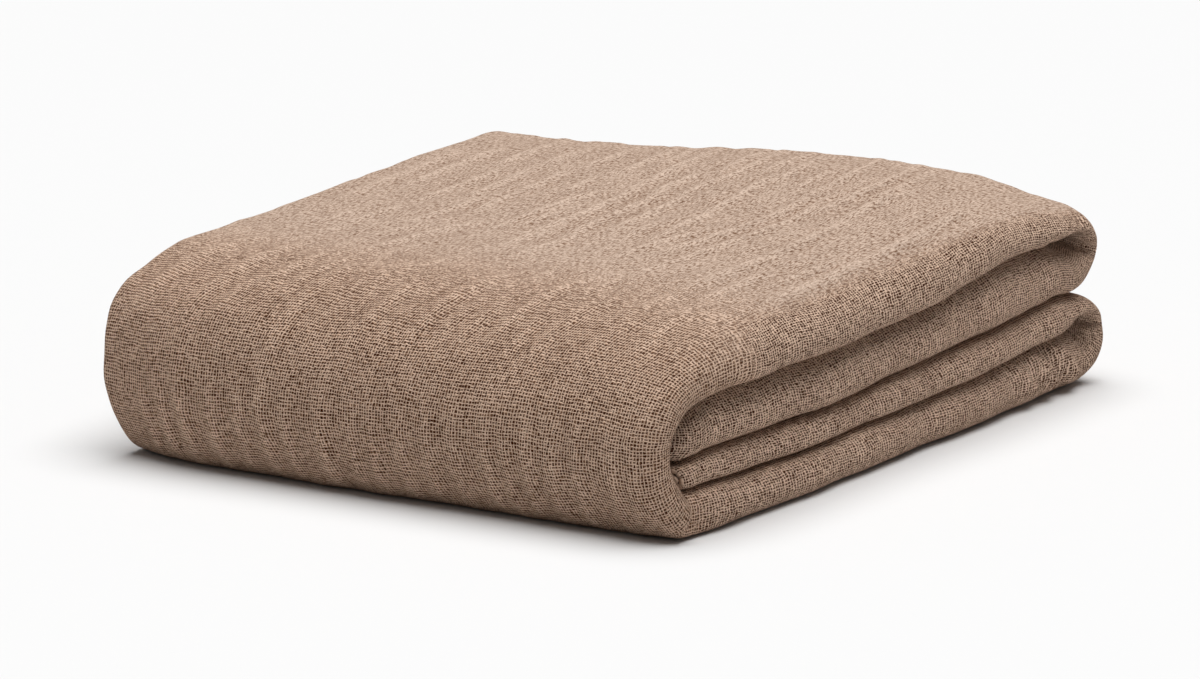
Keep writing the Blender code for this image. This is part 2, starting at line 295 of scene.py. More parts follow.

# How far apart the threads across the strip lie on top and along the lips, against the front.
# On the run: where that starts and over what share. On a lip: how far from the middle of a back
# fold, and from an end of the strip, and over what length.
TOP_APART, LIP_APART = 3.0, 1.45
APART_ON_RUN, APART_FROM_FOLD, APART_FROM_END = (0.16, 0.34), (0.016, 0.030), (0.006, 0.016)

# Seeded unevenness of the outer face.
RIPPLES = (
    # wave across, wave along, height, seed
    (0.0080, 0.030, 0.00020, 3),
    (0.015, 0.045, 0.00030, 5),
    (0.062, 0.070, 0.0005, 8),
    (0.019, 0.017, 0.00030, 11),
)
LATTICE = 96  # its random values a side
LATTICE_START = 37.0  # which of them lies where the flat cloth's measures start


def mix(first, last, share):
    return first + (last - first) * share


def smooth(share):
    share = np.clip(share, 0.0, 1.0)
    return share * share * (3.0 - 2.0 * share)


def rising(value, start, over):
    """0 up to the start, then smoothly up to 1 over a length."""
    return smooth((value - start) / over)


def falling(value, end, over):
    """Smoothly down from 1 to 0 over a length before the end, then 0."""
    return smooth((end - value) / over)


def within(value, start, end):
    """1 between a start and an end, each with the length over which it comes up or dies out."""
    return rising(value, *start) * falling(value, *end)


def along(places, values, at):
    """The values at places on the smooth curve through the given ones. Values may be arrays."""
    places = np.asarray(places, float)
    at = np.clip(np.asarray(at, float), places[0], places[-1])
    step = np.clip(np.searchsorted(places, at, side="right") - 1, 0, len(places) - 2)
    last = len(places) - 1
    values = [np.broadcast_to(value, at.shape) for value in values]

    def pick(index):
        return np.choose(index, values)

    def slope(index):
        low, high = np.maximum(index - 1, 0), np.minimum(index + 1, last)
        return (pick(high) - pick(low)) / (places[high] - places[low])

    length = places[step + 1] - places[step]
    share = (at - places[step]) / length
    bend = share * (1.0 - share) * length
    return (mix(pick(step), pick(step + 1), smooth(share))
            + bend * ((1.0 - share) * slope(step) - share * slope(step + 1)))


def layer_span(name, y):
    """Bottom and top of a layer at the lips."""
    order = LAYERS.index(name)
    places = [row[0] for row in LAYER_TOPS]
    top = along(places, [row[1][order] for row in LAYER_TOPS], y)
    bottom = 0.0 * y
    if order:
        bottom = along(places, [row[1][order - 1] for row in LAYER_TOPS], y) + GAP
    if name == "third":
        top = top - THIRD_END_THIN * falling(y, THIRD_END + END_TAPER, END_TAPER)
        top = top - END_DROP * falling(y, THIRD_END + END_DROP_LONG, END_DROP_LONG)
    if name == "second":
        bottom = bottom - END_DROP * falling(y, THIRD_END + END_DROP_LONG, END_DROP_LONG)
        top = top - SECOND_END_THIN * falling(y, SECOND_END + END_TAPER, END_TAPER)
    return bottom, top


def depth_share(y):
    """0 at the front of the pile, 1 at its back."""
    return y / DEPTH + 0.5


def lip_in(name, y):
    return mix(*LIP_IN[name], smooth(depth_share(y)))


# Each stretch of the strip is a set of columns: inner y and z, outer y and z, how far the lip
# stands in, hang, +1 where the lip turns in sharply on its inner side and -1 on its outer, and
# how far the outer side of the lip reaches in, against its height.
def straight(name, start, end, shares, hang, reach_in):
    y = mix(start, end, shares)
    bottom, top = layer_span(name, y)
    inner, outer = (bottom, top) if end > start else (top, bottom)
    lean = 0.0
    if name == "second":
        lean = SECOND_END_LEAN * falling(y, SECOND_END + END_TAPER, END_TAPER)
    same = np.ones_like(y)
    return [y + lean, inner, y, outer, lip_in(name, y), hang * same, reach_in * same]


def floor_round(y):
    return mix(*FLOOR_ROUND, smooth(depth_share(y)))


def back_fold(leaving, entering, y, shares, hangs, reaches, slack, points, rise):
    """A turn at the back. Slack and points are for its first and second half."""
    low, high = layer_span(entering, np.array(y)), layer_span(leaving, np.array(y))
    turn = math.pi * shares
    middle, inner = (low[1] + high[0]) / 2 + rise * np.sin(turn) ** 2, (high[0] - low[1]) / 2
    outer = inner + mix(high[1] - high[0], low[1] - low[0], smooth(shares))
    reached = np.sin(turn) ** np.where(shares < 0.5, *points)
    from_y = y - np.where(shares < 0.5, *slack) * (1.0 - reached)
    return [from_y + inner * reached, middle + inner * np.cos(turn),
            from_y + outer * reached, middle + outer * np.cos(turn),
            mix(lip_in(leaving, y), lip_in(entering, y), smooth(shares)),
            mix(*hangs, smooth(shares)), mix(*reaches, smooth(2.0 * shares - 1.0))]


def quarter(turn, nearest, reach, middle, rise, square):
    power = 2.0 / square
    return (nearest + reach * (1.0 - np.abs(np.sin(turn)) ** power),
            middle + rise * np.sign(np.cos(turn)) * np.abs(np.cos(turn)) ** power)


def front_fold(front, shares):
    turn = math.pi * (1.0 + shares)
    low = shares < 0.5
    reach = np.where(low, FRONT_LOW, FRONT_HIGH)
    floor = layer_span("fourth", np.array(front + FRONT_LOW))
    top = layer_span("first", np.array(front + FRONT_HIGH))
    mouth, middle = mix(floor[1], top[0], FRONT_AT + MOUTH_UP), FRONT_AT * top[1]
    outer = quarter(turn, front, reach, middle, np.where(low, middle, top[1] - middle), 2.0)
    inner = quarter(turn, front + FRONT_THICK, reach - FRONT_THICK, mouth,
                    np.where(low, mouth - floor[1], top[0] - mouth), MOUTH_SQUARE)
    pressed = np.sin(math.pi * shares) ** 2
    lip = mix(lip_in("fourth", front), lip_in("first", front), smooth(shares))
    turned = rising(shares, *FLOOR_TO_LIP)
    return [inner[0], inner[1], outer[0], outer[1], lip + RIM_IN * pressed,
            mix(FLOOR_HANG, 1.0, turned), mix(floor_round(front), LIP_ROUND, turned)]


def even(steps):
    return np.arange(steps) / steps


def eased(steps, start=1.0, end=1.0):
    """Shares from 0 to 1, closer together at an end whose number is under 1."""
    share = even(steps)
    return share + share * (1 - share) * ((1 - share) * (start - 1) - share * (end - 1))


def strip():
    """The whole strip, from the end of the third layer to that of the second, and its stretches."""
    low_back = DEPTH / 2 - float(layer_span("third", np.array(DEPTH / 2))[1]) / 2 + LOW_BACK_OUT
    top_back = low_back - TOP_BACK_IN
    front = -DEPTH / 2
    lowest = eased(FOURTH_STEPS, *FOURTH_CLOSE)
    stretches = (
        ("third", straight("third", THIRD_END, low_back - BACK_SLACK,
                           eased(THIRD_STEPS, *THIRD_CLOSE), 1.0, LIP_ROUND)),
        ("low_back", back_fold("third", "fourth", low_back, even(LOW_BACK_STEPS),
                               (1.0, FLOOR_HANG), (LIP_ROUND, FLOOR_ROUND[1]),
                               (BACK_SLACK, 0.0), (LOW_POINT, LOW_FULL),
                               TIP_RISE["low_back"])),
        ("fourth", straight("fourth", low_back, front + FRONT_LOW, lowest, FLOOR_HANG,
                            floor_round(mix(low_back, front, lowest)))),
        ("front", front_fold(front, np.concatenate([0.5 * even(FRONT_LOW_STEPS),
                                                    0.5 + 0.5 * even(FRONT_HIGH_STEPS)]))),
        ("first", straight("first", front + FRONT_HIGH, top_back, even(FIRST_STEPS), 1.0,
                           LIP_ROUND)),
        ("top_back", back_fold("first", "second", top_back, even(TOP_BACK_STEPS),
                               (1.0, -1.0), (LIP_ROUND, 1.0), (0.0, BACK_SLACK),
                               (1.0, TOP_POINT), TIP_RISE["top_back"])),
        ("second", straight("second", top_back - BACK_SLACK, SECOND_END,
                            np.append(eased(SECOND_STEPS, *SECOND_CLOSE), 1.0), -1.0, 1.0)),
    )
    columns = [np.concatenate(parts) for parts in zip(*(rows for _, rows in stretches))]
    spans, first = {}, 0
    for name, rows in stretches:
        spans[name] = (first, first + len(rows[0]))
        first += len(rows[0])
    return columns, spans


def settled(x, y, z):
    """Points of the even stack, moved to where the uneven pile has them."""
    columns = [along(HEIGHT_COLUMNS, shares, x) for _, shares in PILE_HEIGHT]
    height = along([row_y for row_y, _ in PILE_HEIGHT], columns, y)
    back = np.maximum(0.0, depth_share(y))
    hem_side = np.minimum(x, 0.0) / (WIDTH / 2)
    moved_x = x - FLARE * back ** FLARE_CURVE * hem_side ** 2

    def corner(outwards, starts, long, times):
        return rising(outwards, starts, long) * smooth(1.0 - times * back)

    hem_corner = corner(-x, *HEM_CORNER)
    low_down = falling(z, LOW_CORNER_TOP, LOW_CORNER_TOP)
    moved_x = moved_x + LOW_CORNER_IN * hem_corner * low_down
    moved_y = y + CORNER_IN * hem_corner
    moved_z = z * height + LOW_CORNER_LIFT * hem_corner ** 3 * low_down
    low_down = falling(z, LIP_CORNER_TOP, LIP_CORNER_TOP)
    moved_z = moved_z + LIP_CORNER_LIFT * corner(x, *LIP_CORNER) * low_down

    away = ((y - SHOULDER_AT[0]) ** 2 + (z - SHOULDER_AT[1]) ** 2) / SHOULDER_WIDE ** 2
    shoulder = np.exp(-away) * rising(-x, *SHOULDER)
    return (np.stack([moved_x, moved_y, moved_z], axis=-1)
            + shoulder[..., None] * np.array(SHOULDER_OUT))


def section(thick, lip_back, hang, reach_in):
    """The cloth across the strip at each station: x, level and the way its outer side faces."""
    half = thick / 2 - CLOTH / 2
    pitch = 2 * half / 3
    apex = WIDTH / 2 - lip_back - CLOTH / 2
    edge = -WIDTH / 2 + CLOTH / 2 + pitch / 2
    hem = edge + HEM_IN
    level = -LIP_HANG * half * hang
    slow_in = mix(1.0, LIP_ROUND, smooth(-hang))
    up, down = math.pi / 2, -math.pi / 2
    blank = np.zeros_like(half)
    xs, levels, looks, parts = [], [], [], []

    def add(name, x, at, look):
        xs.append(x)
        levels.append(at)
        looks.append(look)
        parts.append(name)

    def run(name, start, end, at, look, steps, first=1):
        for step in range(first, steps):
            add(name, mix(start, end, step / steps), at, look + blank)

    def quarter_arc(name, centre, middle, wide, high, start, end, steps):
        for step in range(steps + 1):
            turn = mix(start, end, step / steps)
            add(name, centre + wide * math.cos(turn), middle + high * math.sin(turn),
                np.arctan2(math.sin(turn) * wide, math.cos(turn) * high))

    inner_high, outer_high = half + level, half - level
    inner_wide, outer_wide = inner_high * slow_in, outer_high * reach_in
    run("inner_run", hem, apex - inner_wide, -half, down, SECTION["inner_run"], first=0)
    quarter_arc("lip", apex - inner_wide, level, inner_wide, inner_high, down, 0.0,
                SECTION["inner_arc"])
    quarter_arc("lip", apex - outer_wide, level, outer_wide, outer_high, up / SECTION["outer_arc"],
                up, SECTION["outer_arc"] - 1)
    run("outer_run", apex - outer_wide, edge, half, up, SECTION["outer_run"])
    quarter_arc("edge", edge, pitch, pitch / 2, pitch / 2, up, 3 * up, SECTION["edge"])
    lip = apex - half * INNER_LIP_IN
    run("run_two", edge, lip, pitch / 2, 3 * up, SECTION["run_two"])
    for step in range(SECTION["inner_lip"] + 1):
        turn = mix(3 * up, up, step / SECTION["inner_lip"])
        add("inner_lip", lip - pitch / 2 * math.cos(turn), -pitch / 2 * math.sin(turn),
            turn + blank)
    run("run_three", lip, hem, -pitch / 2, up, SECTION["run_three"])
    add("run_three", hem, -pitch / 2, up + blank)
    return (np.stack(xs, axis=1), np.stack(levels, axis=1), np.stack(looks, axis=1), parts)


def waves(rows, at):
    return sum(high * np.sin(2 * math.pi * at / length + phase) for length, high, phase in rows)


def soft_noise(u, v, wave_u, wave_v, seed):
    """Smooth seeded unevenness between -1 and 1, in waves of about these lengths."""
    lattice = np.random.default_rng(seed).uniform(-1.0, 1.0, (LATTICE, LATTICE))
    cell_u, cell_v = 2.0 * u / wave_u + LATTICE_START, 2.0 * v / wave_v + LATTICE_START
    low_u, low_v = np.floor(cell_u).astype(int), np.floor(cell_v).astype(int)
    share_u, share_v = smooth(cell_u - low_u), smooth(cell_v - low_v)

    def at(right, up):
        return lattice[(low_u + right) % LATTICE, (low_v + up) % LATTICE]

    return mix(mix(at(0, 0), at(1, 0), share_u), mix(at(0, 1), at(1, 1), share_u), share_v)


def path_lengths(points):
    """Distance along each column of points from its first row."""
    steps = np.linalg.norm(np.diff(points, axis=0), axis=-1)
    return np.concatenate([np.zeros((1,) + steps.shape[1:]), np.cumsum(steps, axis=0)])


def from_middle(name, spans, length):
    """Distance along the strip of every station from the middle of one stretch."""
    first, after = spans[name]
    return length - (length[first] + length[min(after, len(length) - 1)]) / 2


def end_rounding(length):
    """How far the lips are drawn in at the two ends of the strip, as on a rounded corner."""
    total = 0.0
    for (deep, long), away in zip(END_TURN, (length, length[-1] - length)):
        total = total + deep * (1.0 - np.sqrt(1.0 - (1.0 - np.clip(away / long, 0.0, 1.0)) ** 2))
    return total


def sheet_sides():
    """Both sides of the cloth as grids of points, a row for each station along the strip."""
    (inner_y, inner_z, outer_y, outer_z, lips, hang, reach_in), spans = strip()
    thick = np.hypot(outer_y - inner_y, outer_z - inner_z)
    length = path_lengths(np.stack([outer_y, outer_z], axis=-1))
    lips = lips + waves(LIP_WAVES, length) + end_rounding(length)
    hang = hang * (1.0 + waves(HANG_WAVES, length))
    x, level, looks, parts = section(thick, lips, hang, reach_in)

    across = level / thick[:, None] + 0.5
    for name, depth, starts, ends, hollow_from, hollow_to in POCKETS:
        away = from_middle(name, spans, length)
        strength = within(away, (starts, -starts), (ends, ends))
        inward = rising(1.0 - across, hollow_from, hollow_to - hollow_from)
        reach = rising(x, WIDTH / 2 - POCKET_REACH, POCKET_REACH)
        x = x - depth * strength[:, None] * inward * reach

    behind = length[spans["front"][0]] + FLAP_AHEAD - length[:, None]
    stepped = within(behind, (0.0, FLAP_STEP), (FLAP_STEP + FLAP_FADE, FLAP_FADE))
    height_share = (falling(across, 1.0, FLAP_FLOOR)
                    * mix(FLAP_LEAST, 1.0, rising(across, 0.0, FLAP_TOP)))
    x = x - FLAP_IN * stepped * rising(x, *FLAP_REACH) * height_share

    def world(at_x, at_level):
        share = at_level / thick[:, None] + 0.5
        return settled(at_x, mix(inner_y[:, None], outer_y[:, None], share),
                       mix(inner_z[:, None], outer_z[:, None], share))

    dx, dn = CLOTH / 2 * np.cos(looks), CLOTH / 2 * np.sin(looks)
    sides = world(x + dx, level + dn), world(x - dx, level - dn)
    return (*sides, x, level, looks, parts, spans)


def outward(grid):
    """The direction each point of a grid faces, away from the inside of the cloth."""
    normals = np.cross(np.gradient(grid, axis=0), np.gradient(grid, axis=1))
    return normals / np.maximum(np.linalg.norm(normals, axis=-1, keepdims=True), 1e-12)


def ridge(x, middle, half_width):
    """A soft ridge with a trough along each side."""
    away = (x - middle) / half_width
    return np.exp(-away ** 2) - CREASE_TROUGH * (np.exp(-(away - TROUGH_AT) ** 2)
                                                 + np.exp(-(away + TROUGH_AT) ** 2))


def crease_height(x, run):
    """Height of the creases over the outer face. Run is the share of the way to the back fold."""
    x_mm = x / MM
    total = np.zeros_like(x)
    past_front = rising(run, *FRONT_TO_TOP)
    high = mix(FRONT_HIGH_SHARE, TOP_HIGH_SHARE, past_front)
    high = high * (1.0 - BACK_LOWER * rising(run, *NEAR_BACK))
    wide = mix(FRONT_WIDE_SHARE, 1.0, past_front)
    for starts, ends, first, middle, last, height, half_width in CREASES:
        share = (run - starts) / (ends - starts)
        bend = 2.0 * first - 4.0 * middle + 2.0 * last
        path = first + share * (last - first - bend) + share * share * bend
        shown = within(run, (starts, CREASE_FADE), (ends, CREASE_FADE))
        total += MM * height * ridge(x_mm, path, half_width * wide) * shown * high
    for low_down, height, half_width in FOOT_FOLDS:
        shown = within(run, (0.0, CREASE_FADE), (FOOT_END, 2.0 * CREASE_FADE))
        total += MM * height * ridge(x_mm, low_down + FOOT_LEAN * run, half_width) * shown
    return total


def lip_folds(outside, spans):
    """Height of the short slanting folds on the lips."""
    x, y, z = np.moveaxis(outside, -1, 0)
    total = np.zeros_like(x)
    for name, y_middle, height, half_width, slant in LIP_FOLDS:
        first, after = spans[name]
        rows = slice(max(first - LIP_FOLD_SPARE, 0), after + LIP_FOLD_SPARE)
        above = z[rows] - LIP_MIDDLES[name]
        shape = ridge(y[rows], y_middle - slant * above, half_width)
        total[rows] += height * shape * np.exp(-(above / LIP_FOLD_TALL) ** 4)
    return total * rising(z, *LIP_FOLD_FLOOR) * rising(x, *LIP_FROM)


def spread_out(length, apart):
    """Lengths measured in threads that lie apart by these factors."""
    steps = 2.0 * np.diff(length) / (apart[1:] + apart[:-1])
    return np.concatenate([[0.0], np.cumsum(steps)])


def shaped_sheet():
    """Both sides of the finished cloth, with the flat coordinates and the maps of its weave, of its
    lips and of its felted top, which is painted lighter.
    """
    outside, inside, x, level, looks, parts, spans = sheet_sides()
    first, after = spans["front"][0], spans["top_back"][0]
    middle_column = parts.index("outer_run") + SECTION["outer_run"] // 2
    along_cloth = path_lengths(outside)[:, middle_column]
    run = (along_cloth - along_cloth[first]) / (along_cloth[after] - along_cloth[first])
    run = run[:, None] + 0.0 * x

    across_cloth = path_lengths(np.swapaxes(outside, 0, 1)).T
    apex = parts.index("lip") + SECTION["inner_arc"]
    across_cloth = across_cloth - across_cloth[:, apex:apex + 1]
    flat = np.stack([across_cloth, along_cloth[:, None] + 0.0 * x], axis=-1)

    shown = within(run, *CREASED)
    shown *= np.array([part in ("outer_run", "lip", "edge") for part in parts])
    shown *= rising(level / np.max(level, axis=1, keepdims=True), *CREASED_LEVEL)
    creases = crease_height(x, run) * shown
    height = creases + lip_folds(outside, spans)
    for wave_u, wave_v, high, seed in RIPPLES:
        height += high * soft_noise(flat[..., 0], flat[..., 1], wave_u, wave_v, seed) * shown
    lift = outward(outside) * height[..., None]

    # The top felted and painted lighter, the lips, and the crease relief for painted shade and
    # light.
    on_top = within(run, *TOP_FELTED_AND_LIT) * shown
    on_side = rising(np.cos(looks), *SIDE_FACING) * (1.0 - within(run, *FRONT_WOVEN))
    relief = np.clip(0.5 + creases / RELIEF_SPAN, 0.0, 1.0)
    finish = np.stack([on_top * (1.0 - on_side), on_side], axis=-1)

    # Where the threads across the strip lie: further apart on top and along the lips than on the
    # front and at the back folds.
    lip_length = path_lengths(outside)[:, apex]
    turning = 0.0
    for name in ("top_back", "low_back"):
        away = np.abs(from_middle(name, spans, lip_length))
        turning = turning + 1.0 - rising(away, *APART_FROM_FOLD)
    for away in (lip_length, lip_length[-1] - lip_length):
        turning = turning + 1.0 - rising(away, *APART_FROM_END)
    on_run = spread_out(along_cloth, mix(1.0, TOP_APART, rising(run[:, 0], *APART_ON_RUN)))
    on_lip = spread_out(lip_length, mix(LIP_APART, 1.0, np.clip(turning, 0.0, 1.0)))
    threads = np.stack([on_run[:, None] + 0.0 * x, on_lip[:, None] + 0.0 * x], axis=-1)
    raised = np.stack([relief, 0.0 * x], axis=-1)
    maps = {"weave": flat, "finish": finish, "threads": threads, "relief": raised}
    return outside + lift, inside + lift, maps, parts, spans


# ---- the mesh of the sheet
# Where each part of the sheet lies in its square of paint: part of the ring round the cloth,
# stretches of the strip, then the corners of its rectangle. What shows most has most room.
BAKE_PLACES = (
    # ring,     from,     to,         left,  low,   right, high
    ("lip", "third", "third", 0.645, 0.005, 0.705, 0.600),
    ("lip", "low_back", "fourth", 0.710, 0.005, 0.770, 0.740),
    ("lip", "front", "top_back", 0.575, 0.005, 0.640, 0.995),
    ("lip", "second", "second", 0.775, 0.005, 0.835, 0.640),
    ("run", "third", "fourth", 0.840, 0.005, 0.995, 0.400),
    ("run", "front", "top_back", 0.005, 0.005, 0.570, 0.995),
    ("run", "second", "second", 0.840, 0.405, 0.995, 0.640),
    ("inner", "third", "second", 0.775, 0.645, 0.835, 0.985),
    ("hidden", "third", "second", 0.840, 0.645, 0.995, 0.985),
)
HEM_ROUND = 0.45  # how far the middle of a hem stands out, against the thickness of the cloth
BAKE_CAPS = ((0.775, 0.988, 0.880), (0.885, 0.988, 0.990))  # left, low and right of the two ends
BAKE_CAP_HIGH = 0.006


def bake_corners(ring_groups, spans, around, length):
    """Places in the square of paint for the four corners of every face between two stations."""
    corners = np.zeros((len(length) - 1, len(around) - 1, 4, 2))
    for ring, start, end, left, low, right, high in BAKE_PLACES:
        begin, stop = ring_groups[ring]
        first, after = spans[start][0], min(spans[end][1], len(length) - 1)
        across = np.interp(around[begin:stop + 1], (around[begin], around[stop]), (left, right))
        up = np.interp(length[first:after + 1], (length[first], length[after]), (low, high))
        block = corners[first:after, begin:stop]
        for corner, (side, row) in enumerate(((0, 0), (1, 0), (1, 1), (0, 1))):
            block[:, :, corner, 0] = across[None, side:side + stop - begin]
            block[:, :, corner, 1] = up[row:row + after - first, None]
    return corners


def add_object(name, data):
    made = bpy.data.objects.new(name, data)
    bpy.context.scene.collection.objects.link(made)
    return made


def add_map(mesh, name, places):
    layer = mesh.uv_layers.new(name=name)
    layer.data.foreach_set("uv", np.asarray(places, np.float32).reshape(-1))


def build_blanket():
    outside, inside, maps, parts, spans = shaped_sheet()
    stations, points = outside.shape[:2]
    run_at = parts.index("outer_run")
    kept = np.array([index for index in range(points) if parts[index] != "outer_run"
                     or (index - run_at) % HIDDEN_STEP == 1])
    hems = [(outside[:, end] + inside[:, end]) / 2 for end in (0, -1)]
    turned = [outside[:, end] - outside[:, end + step] for end, step in ((0, 1), (-1, -1))]
    hems = [hem + HEM_ROUND * CLOTH * way / np.linalg.norm(way, axis=-1, keepdims=True)
            for hem, way in zip(hems, turned)]

    # Round the cloth: its outside, the far hem, its inside and the near hem, back to the start.
    back = kept[::-1]
    source = np.concatenate([np.arange(points), [points - 1], back, [0]])
    rings = np.concatenate([outside, hems[1][:, None], inside[:, back], hems[0][:, None]], axis=1)
    rings = rings - ORIGIN
    size = rings.shape[1]
    index = np.arange(stations * size).reshape(stations, size)
    index = np.concatenate([index, index[:, :1]], axis=1)
    quads = np.stack([index[:-1, :-1], index[:-1, 1:], index[1:, 1:], index[1:, :-1]], axis=-1)
    faces = quads.reshape(-1, 4).tolist()

    # The two ends of the strip: a face for each step of the inside, and one at each hem.
    middle = rings[stations // 2]
    around = path_lengths(np.concatenate([middle, middle[:1]]))
    lip_at = parts.index("lip")
    groups = {"inner": (0, lip_at), "lip": (lip_at, run_at), "run": (run_at, points - 1),
              "hidden": (points - 1, size)}
    strip_length = maps["weave"][:, run_at, 1]
    places = [bake_corners(groups, spans, around, strip_length).reshape(-1, 2)]
    inside_at = {column: points + 1 + place for place, column in enumerate(back)}
    for station, way, cap in ((0, -1, BAKE_CAPS[0]), (stations - 1, 1, BAKE_CAPS[1])):
        left, low, right = cap
        rounds = [list(range(start, end + 1)) + [inside_at[end], inside_at[start]]
                  for start, end in zip(kept[:-1], kept[1:])]
        rounds += [[points - 1, points, points + 1], [size - 1, 0, size - 2]]
        for ring in rounds:
            ring = ring[::way]
            faces.append([int(index[station, column]) for column in ring])
            spot = around[source[ring]] / around[points - 1]
            rise = np.where(np.array(ring) < points, 0.0, BAKE_CAP_HIGH)
            places.append(np.stack([mix(left, right, spot), low + rise], axis=-1))

    mesh = bpy.data.meshes.new("blanket_cloth")
    mesh.from_pydata(rings.reshape(-1, 3).tolist(), [], faces)
    corners = np.empty(len(mesh.loops), int)
    mesh.loops.foreach_get("vertex_index", corners)
    for name, places_of in maps.items():
        add_map(mesh, name, places_of[:, source].reshape(-1, 2)[corners])
    add_map(mesh, "OFBake", np.concatenate(places))
    mesh.shade_smooth()
    mesh.update()
    return add_object("blanket_cloth", mesh)


# ---- materials
class Value:
    """A number that a material's nodes work out, for use with the plain signs."""

    def __init__(self, graph, socket):
        self.graph, self.socket = graph, socket

    def __add__(self, other):
        return self.graph.maths("ADD", self, other)

    def __sub__(self, other):
        return self.graph.maths("SUBTRACT", self, other)

    def __rsub__(self, other):
        return self.graph.maths("SUBTRACT", other, self)

    def __mul__(self, other):
        return self.graph.maths("MULTIPLY", self, other)

    def __truediv__(self, other):
        return self.graph.maths("DIVIDE", self, other)


class Graph:
    """Short calls for a material's nodes."""

    def __init__(self, name):
        self.material = bpy.data.materials.new(name)
        self.material.use_nodes = True
        self.tree = self.material.node_tree
        self.shader = self.tree.nodes["Principled BSDF"]

    def put(self, socket, value):
        value = getattr(value, "socket", value)
        if isinstance(value, bpy.types.NodeSocket):
            self.tree.links.new(value, socket)
        else:
            socket.default_value = value

    def node(self, kind, inputs=(), **settings):
        """A new node with its settings, and with what goes in, by name or by number."""
        made = self.tree.nodes.new(kind)
        for name, value in settings.items():
            setattr(made, name, value)
        for key, value in inputs:
            self.put(made.inputs[key], value)
        return made

    def maths(self, operation, *values):
        made = self.node("ShaderNodeMath", enumerate(values), operation=operation)
        return Value(self, made.outputs[0])

    def blend(self, share, first, last):
        inputs = (("Factor", share), ("A", first), ("B", last))
        return self.node("ShaderNodeMix", inputs, data_type="RGBA").outputs["Result"]

    def spread(self, value, low, high, to_low=0.0, to_high=1.0):
        inputs = enumerate((value, low, high, to_low, to_high))
        made = self.node("ShaderNodeMapRange", inputs, interpolation_type="SMOOTHSTEP")
        return Value(self, made.outputs["Result"])

    def map_parts(self, name):
        """The two parts of a flat map of the mesh."""
        place = self.node("ShaderNodeUVMap", uv_map=name).outputs["UV"]
        made = self.node("ShaderNodeSeparateXYZ", ((0, place),))
        return Value(self, made.outputs["X"]), Value(self, made.outputs["Y"])

    def noise(self, across, up, detail):
        """Noise in cells of one unit, at a place given by its two parts."""
        place = self.node("ShaderNodeCombineXYZ", enumerate((across, up)))
        inputs = (("Vector", place.outputs[0]), ("Scale", 1.0), ("Detail", detail))
        made = self.node("ShaderNodeTexNoise", inputs, noise_dimensions="2D")
        return Value(self, made.outputs["Fac"])


# Heights go from 0 in a pore to 1 on top of a thread, and unevenness, felting, the painted
# lighter top and the lips from 0 to 1. Pairs are where a change starts and ends.
# One thread to the next, across and along, on the front and on the lips.
FRONT_PITCH, LIP_PITCH = (0.00116, 0.00124), (0.00096, 0.00115)
# How the threads stray: cells a metre, how far, and a number that sets each noise apart. The last
# of each is the ruffle, which comes in on the way to the top, and by a share on the lips.
STRAY_ACROSS = ((34.0, 0.0024, 11.0), (260.0, 0.0007, 23.0), (520.0, 0.0010, 61.0))
STRAY_ALONG = ((40.0, 0.0024, 37.0), (240.0, 0.0007, 41.0), (430.0, 0.0019, 67.0))
RUFFLED_ON_TOP, RUFFLED_ON_SIDE = (0.0, 0.6), 0.50
# Gaps between threads: what sets each apart, how quickly its width changes along it, how much
# and from where, and how soft its sides are.
GAP_KEY, GAP_CHANGE, GAP_WIDE, GAP_FROM, GAP_SOFT = 7.31, 0.80, 0.70, -0.15, 0.18
UNEVEN = {
    # name: cells a metre across and along, a number that sets it apart, detail
    "speckle": (1500.0, 1100.0, 5.0, 2.0),
    "grain": (900.0, 560.0, 17.0, 2.0),
    "patches": (70.0, 40.0, 29.0, 3.0),
    "fuzz": (2100.0, 2100.0, 53.0, 1.0),
}
# The cloth is felted in patches, painted lighter over its crease ridges as painted light, and open
# in its troughs, where it gets painted shade.
RIDGE_LIGHT_RELIEF, FELT_PATCHES, FELT_PATCH, FELT_AND_RIDGE_LIGHT_RANGE = (0.35, 0.95), (0.30, 0.70), 0.18, (-0.20, 1.20)
OPEN_GRAIN, OPEN_LESS_FELT = (0.30, 0.52), 0.08
# Pores, painted dark as shade between the threads: thread heights from full to none, their
# strength and what open cloth adds to it, and by what share it changes on top and on the lips.
PORE_HEIGHTS, PORE_STRENGTH, PORE_OPENED = (0.07, 0.75), 0.60, 0.38
PORE_ON_TOP, PORE_ON_SIDE = -0.74, 0.30
# Shade of the threads: height puts in painted shade down their sides and a painted highlight on
# their tops, fuzz and grain a random tone, the lips a lighter one; and where it starts and ends.
SHADE_HEIGHT, SHADE_FUZZ, SHADE_GRAIN, SHADE_SIDE = 0.45, 0.40, 0.45, 0.12
SHADE_RANGE = (0.36, 0.93)
# Painted shade between the creases, spared on their ridges, deeper where the grain leaves the weave
# open.
SUNK_SHADE = 0.22  # how much darker open cloth is between its creases
# Speckle of the top, which is painted lighter: what relief puts in as painted light on crease
# ridges and shade in troughs, what patches put in, where it starts and ends, and its share.
RIDGE_LIGHT_ON_TOP, SPECKLE_PATCH, SPECKLE_RANGE, LIT_TOP_SHARE = 0.10, 0.10, (0.28, 0.60), 0.80
# Painted shade in the crease troughs and painted light on their ridges, over an even darker tone.
TROUGH_SHADE, EVEN_DEEP = -0.14, 0.04  # how relief darkens the cloth, and how dark it is without
# Bump: its height in metres, what fuzz and grain add, and how much lower threads are on top.
BUMP_HIGH, BUMP_FUZZ, BUMP_GRAIN, BUMP_ON_TOP = 0.00050, 0.35, 0.50, -0.80
